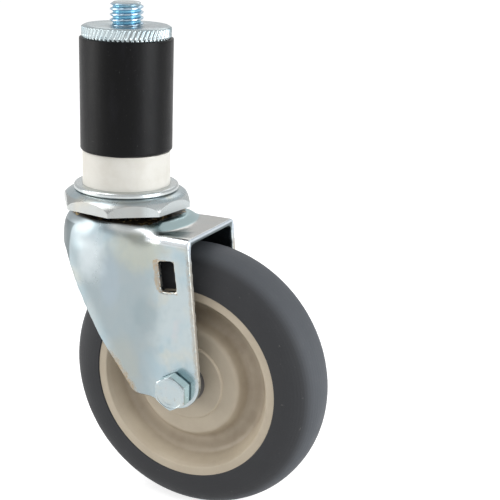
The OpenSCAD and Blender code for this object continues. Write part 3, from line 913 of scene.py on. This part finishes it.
# %% Finish the fork
def fork_finish():
    plate = zinc_plate("pressed_zinc_plate", patch=12.0, blue=0.6, straw=0.4, pink=0.3, gloss=0.22)
    at = on_fork(plate.place)
    crown, shoulder_highlight = crown_tones(at)
    wall, lit_wall, window_stain = window_marks(at)
    stained, golden = edge_marks(at, window_stain)
    grease_and_shade, painted_glint = gap_grease_and_shade(at)
    # The darker tone high on the nose is painted shade that tones down its highlight.
    nose = (1 - step(at.x, -9, 3)) * (1 - step(at.y, -10, 0)) * step(at.z, -40, -26)
    sheared = 1 - step(at.from_rear, 0.05, 0.25)
    cut_tone = over((0.50, 0.47, 0.41), (0.62, 0.69, 0.76), step(at.z, -24, -16))
    pitted = step(noise(at.place, 1.1, 4, 0.75, shift=33), 0.6, 0.68) * sheared
    # The inside of the legs is painted darker: painted shade.
    shaded_inside = 1 - step(abs(at.y), -fork_low.y - 2.4, -fork_low.y - 2.0)
    shaded_inside = shaded_inside * (1 - step(at.z, shelf_z - 1.5, shelf_z - 0.9)) * (1 - wall)
    colour = layers(plate.colour, *leg_tones(at), *crown,
                    ((0.52, 0.45, 0.33), lit_wall),
                    (STAIN, stained),
                    ((0.30, 0.21, 0.10), golden * 0.7),
                    ((0.30, 0.345, 0.37), nose * step(at.z, -21, -17) * 0.6),
                    (cut_tone, sheared * 0.7),
                    ((0.08, 0.07, 0.05), pitted * 0.8),
                    ((0.16, 0.19, 0.20), shaded_inside),
                    (GREASE_SHADE, grease_and_shade),
                    ((0.55, 0.40, 0.18), grease_and_shade * painted_glint))
    # The shoulder's painted highlight also makes the plate less metallic.
    pale = shoulder_highlight * (1 - grease_and_shade) * (1 - stained)
    height = plate.grain * 0.014 + noise(at.place, 9, 1, 0.4, shift=19) * 0.3
    connect(plate.shader, Base_Color=colour,
            Metallic=1 - 0.5 * stained - 0.7 * grease_and_shade * (1 - painted_glint) - 0.6 * pale,
            Roughness=plate.roughness + 0.3 * stained + 0.3 * sheared + 0.14 * nose,
            Normal=relief(height, 1.0))
    return plate.material


paint(fork_finish(), drawn_fork)
print("fork painted")

# %% [markdown]
# ## Balls in grease
# The loose balls are bright steel, but what shows between the head and the fork is old grease,
# dark amber and wet, with a glint on each ball. A metal under a clear coat gives the glint, and
# a noise decides where the grease has been wiped off by rolling.

# %% Finish the balls
def ball_finish():
    material, shader, place = new_finish("greased_steel_balls")
    wiped = step(noise(place, 1.2, 3), 0.56, 0.64)
    colour = over((0.012, 0.008, 0.004), (0.42, 0.29, 0.12), wiped)
    connect(shader, Base_Color=colour, Metallic=0.9 * wiped, Roughness=0.34 - 0.12 * wiped,
            Coat_Weight=0.25 * wiped, Normal=relief(noise(place, 0.7, 3), 0.02))
    return material


paint(ball_finish(), "upper_balls", "lower_balls")
print("balls greased")

# %% [markdown]
# ## Bolt, nut and small turned parts
# The bolt's head was turned on a lathe, which leaves fine rings around its middle, and rings in relief pull
# the highlight into a fan. The axis of the wheel is level, so the rings are spread around it with a distance
# in x and z. Off its bright face the bolt has a bluish plate that is pale and less metallic, which is
# painted light that keeps its flats bright, and so has the nut on the far side. The bushes are plain steel.

# %% Finish the axle parts
bolt_face_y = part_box("axle_bolt")[0].y / MM


def axle_finish(name, blue, ring_relief, bluish_and_lit=0.0):
    plate = zinc_plate(name, patch=5.0, blue=blue, straw=0.2, pink=0.2, gloss=0.2)
    radius, y = around_axle(plate.place)
    rings = radius.maths("SINE", radius * 9) * 0.5 + 0.5
    uneven = noise(plate.place, 1.4, 3)
    off_face = step(y, bolt_face_y + 0.35, bolt_face_y + 0.6)
    specks = step(noise(plate.place, 0.9, 3, shift=13), 0.64, 0.74)
    # Off the face the plate is bluish, pale and less metallic: painted light that keeps the flats bright.
    colour = layers(plate.colour,
                    ((0.50, 0.65, 0.66), off_face * bluish_and_lit),
                    ((0.30, 0.25, 0.19), specks * 0.5))
    connect(plate.shader, Base_Color=colour, Metallic=1.0 - 0.6 * bluish_and_lit * off_face,
            Roughness=plate.roughness + 0.06 * uneven,
            Normal=relief(plate.grain * 0.6 + rings * ring_relief * uneven, PLATE_GRAIN))
    return plate.material


paint(axle_finish("turned_zinc_bolt", 0.3, 1.2, bluish_and_lit=1.0), bolt, "lock_nut")
paint(axle_finish("plain_steel_bush", 0.1, 0.4), "spanner_bushing", "near_spacer", "far_spacer")
print("axle painted")

# %% [markdown]
# ## Small moulded plastics
# The white spacer on the stud, the locking ring in the nut and the two bearing bushes are
# nylon. It has an even colour that dirt changes, a satin skin and a very fine grain. A little
# light enters it, which is left out here because the walls are thick.

# %% Finish the small plastics
def moulded(name, colour, dirt, dirt_share, gloss):
    material, shader, place = new_finish(name)
    cloud = step(noise(place, 7, 4, 0.6), 0.4, 0.75)
    specks = step(noise(place, 0.6, 3, 0.7, shift=15), 0.66, 0.75)
    dirty = over(colour, dirt, (cloud * 0.6 + specks * 0.8) * dirt_share)
    roughness = gloss + 0.15 * (noise(place, 2.5, 3, shift=8) - 0.5)
    connect(shader, Base_Color=dirty, Roughness=roughness,
            Normal=relief(noise(place, 0.5, 3, 0.6, shift=4), 0.02))
    return material


paint(moulded("white_nylon_spacer", (0.78, 0.76, 0.70), (0.52, 0.47, 0.36), 0.35, 0.42), "spacer_sleeve")
paint(moulded("nut_locking_nylon", (0.62, 0.66, 0.70), (0.4, 0.4, 0.38), 0.3, 0.4), "nut_insert")
bearing_nylon = moulded("bearing_nylon", (0.055, 0.055, 0.06), (0.12, 0.11, 0.10), 0.5, 0.4)
paint(bearing_nylon, "near_bushing", "far_bushing")
print("small plastics done")

# %% [markdown]
# ## The wheel's core
# The core is moulded too, of a beige plastic with faint streaks along the axle. Its recessed web and the
# groove where its walls meet the web are painted darker, which is painted shade, and the distances from the
# axle and along it make the masks.

# %% Finish the wheel's core
def core_finish():
    material, shader, place = new_finish("beige_moulded_core")
    radius, y = around_axle(place)
    deep = 1 - step(abs(y), 4.0, 9.5)
    groove_shade = band(radius, 25.5, 28.5, 1.5) * (1 - step(abs(y), 8, 12))
    cloud = step(noise(place, 8, 4, 0.6), 0.35, 0.75)
    specks = step(noise(place, 0.7, 4, 0.7, shift=15), 0.64, 0.75)
    # The recess of the web and the groove are painted darker: painted shade.
    colour = layers((0.55, 0.475, 0.365),
                    ((0.45, 0.375, 0.275), cloud * 0.4),
                    ((0.24, 0.18, 0.125), deep * (0.3 + 0.25 * cloud)),
                    ((0.17, 0.13, 0.08), specks * 0.35),
                    ((0.27, 0.215, 0.15), groove_shade * (0.4 + 0.1 * cloud)))
    flow = noise(stretched(place, 1, 0.3, 1), 2.2, 3, 0.6, shift=27)
    turned = radius.maths("SINE", radius * 5) * 0.5 + 0.5
    height = noise(place, 0.45, 3, 0.6) * 0.02 + flow * 0.03 + turned * 0.004
    connect(shader, Base_Color=colour, Roughness=0.46 + 0.16 * (flow - 0.5), Normal=relief(height, 1.0))
    return material


paint(core_finish(), "wheel_core")
print("core done")

# %% [markdown]
# ## The sleeve's rubber
# The hose is black with a soft shine, fine pits and a bloom of pale dust, which a noise drawn
# out along the hose lays on.

# %% Finish the sleeve
def hose_finish():
    material, shader, place = new_finish("black_rubber_hose")
    pits = step(noise(place, 0.5, 4, 0.7), 0.58, 0.72)
    bloom = step(noise(stretched(place, 1, 1, 0.35), 5, 4, 0.65, shift=17), 0.45, 0.8)
    grit = step(noise(place, 0.55, 2, 0.7, shift=29), 0.7, 0.76)
    colour = layers((0.002, 0.002, 0.0024),
                    ((0.008, 0.008, 0.0105), bloom * 0.6),
                    ((0.13, 0.13, 0.125), grit * 0.5))
    streaks = noise(stretched(place, 1, 1, 0.1), 3, 2)
    height = noise(place, 0.9, 4, 0.6) * 0.03 - pits * 0.02 + streaks * 0.05
    connect(shader, Base_Color=colour, Roughness=0.38 + 0.14 * bloom, Specular_IOR_Level=0.15,
            Normal=relief(height, 1.0))
    return material


paint(hose_finish(), sleeve)
print("sleeve done")

# %% [markdown]
# ## The tyre's rubber
# The tyre is grey with carbon and chalk, almost matt, rougher and paler on the tread than on its sides, with
# small scuffs. The distance from the axle tells the tread from the sides.

# %% Finish the tyre
def tyre_finish():
    material, shader, place = new_finish("grey_rubber_tyre")
    radius, _ = around_axle(place)
    tread = step(radius, tyre_r - 4.5, tyre_r - 1.0)
    cloud = step(noise(place, 9, 4, 0.6), 0.35, 0.75)
    dust = step(noise(place, 0.7, 4, 0.7, shift=35), 0.55, 0.75)
    scuff = step(noise(stretched(place, 0.5, 2.5, 0.5), 1.6, 4, 0.7, shift=45), 0.66, 0.74)
    colour = layers((0.031, 0.032, 0.035),
                    ((0.041, 0.042, 0.045), cloud * 0.6),
                    ((0.085, 0.092, 0.103), tread * 0.85),
                    ((0.12, 0.12, 0.12), dust * (0.08 + 0.2 * tread)),
                    ((0.24, 0.23, 0.21), scuff * 0.3))
    height = noise(place, 0.4, 3, 0.6) * 0.03 + noise(place, 2.0, 3) * 0.06 * tread - scuff * 0.02
    connect(shader, Base_Color=colour, Roughness=0.62 + 0.12 * cloud, Specular_IOR_Level=0.3,
            Normal=relief(height, 1.0))
    return material


paint(tyre_finish(), "tyre")
print("tyre done")

# %% [markdown]
# ## The floor
# The background of the photograph is plain white. The floor is a large pale plane: what the
# camera or a mirror sees of it has a little light of its own, so that it comes close to white
# and still keeps the castor's shadow.

# %% Lay the floor
floor_side = 3.0
floor_grey = 0.64
floor_glow = 0.74


def seen_directly(start):
    """1 where the camera, a reflection or a view through glass meets the surface."""
    rays = [start.node("ShaderNodeLightPath", {}, {}, output="Is %s Ray" % kind)
            for kind in ("Camera", "Glossy", "Transmission")]
    return start.maths("MINIMUM", rays[0] + rays[1] + rays[2], 1.0)


def lay_floor():
    material = bpy.data.materials.new("pale_floor")
    material.use_nodes = True
    tree = material.node_tree
    tree.nodes.clear()
    start = Wire(tree)
    diffuse = start.node("ShaderNodeBsdfDiffuse", {}, {"Color": (floor_grey, floor_grey, floor_grey, 1)})
    glow = start.node("ShaderNodeEmission", {}, {"Strength": seen_directly(start) * floor_glow})
    total = start.node("ShaderNodeAddShader", {}, {0: diffuse, 1: glow})
    out = tree.nodes.new("ShaderNodeOutputMaterial")
    tree.links.new(total.socket, out.inputs["Surface"])
    corners = [(-1, -1), (1, -1), (1, 1), (-1, 1)]
    mesh = bpy.data.meshes.new("floor")
    mesh.from_pydata([(x * floor_side, y * floor_side, cad_low[2]) for x, y in corners], [], [(0, 1, 2, 3)])
    mesh.materials.append(material)
    plane = bpy.data.objects.new("floor", mesh)
    bpy.context.scene.collection.objects.link(plane)


lay_floor()
print("floor laid")

# %% [markdown]
# ## The world
# The world is white to the camera and dimmer as a light, so that the panels can model the
# forms. Mirrors see it a little less bright, and least on the side that the photograph was
# taken from, low down, which gives the bright metal some darker shapes to show.

# %% Light the world
world_light = 0.496
mirror_dim = 0.2


def light_world():
    world = bpy.data.worlds.new("studio")
    world.use_nodes = True
    bpy.context.scene.world = world
    tree = world.node_tree
    tree.nodes.clear()
    start = Wire(tree)
    seen = seen_directly(start)
    mirrored = start.node("ShaderNodeLightPath", {}, {}, output="Is Glossy Ray")
    x, y, z = axes(start.node("ShaderNodeTexCoord", {}, {}, output="Generated"))
    dark_side = step(x * 0.42 - y * 0.9, 0.1, 0.9) * (1 - step(z, 0.1, 0.5))
    strength = world_light * (1 - seen) + seen - mirrored * (mirror_dim + mirror_dim * dark_side)
    light = start.node("ShaderNodeBackground", {}, {"Color": (1, 1, 1, 1), "Strength": strength})
    out = tree.nodes.new("ShaderNodeOutputWorld")
    tree.links.new(light.socket, out.inputs["Surface"])


light_world()
print("world lit")

# %% [markdown]
# ## Panels
# Four soft panels model the metal and the rubber: a warm key on the left, a cool one on the
# right, one above the front that brightens the upper faces, and a weak one high at the back
# that shows in the nut's flat top. Each one points at the middle of the castor.

# %% Hang the panels
panels = [("left_box", (-0.6, -0.4, 0.06), (0.45, 0.38), 1.8, (1, 0.99, 0.97)),
          ("right_box", (0.5, -0.02, 0.06), (0.3, 0.36), 1.7, (0.96, 0.98, 1)),
          ("top_box", (-0.32, -0.24, 0.6), (0.42, 0.42), 2.2, (1, 1, 1)),
          ("back_box", (-0.25, 0.68, 0.55), (0.6, 0.3), 0.7, (1, 1, 1))]
lit_middle = Vector((0.02, 0, -0.03))

for name, place, size, watts, colour in panels:
    lamp = bpy.data.lights.new(name, "AREA")
    lamp.shape = "RECTANGLE"
    lamp.size, lamp.size_y = size
    lamp.energy = watts
    lamp.color = colour
    panel = bpy.data.objects.new(name, lamp)
    bpy.context.scene.collection.objects.link(panel)
    panel.visible_camera = False
    panel.location = place
    panel.rotation_euler = (lit_middle - Vector(place)).to_track_quat("-Z", "Y").to_euler()
print("panels:", len(panels))
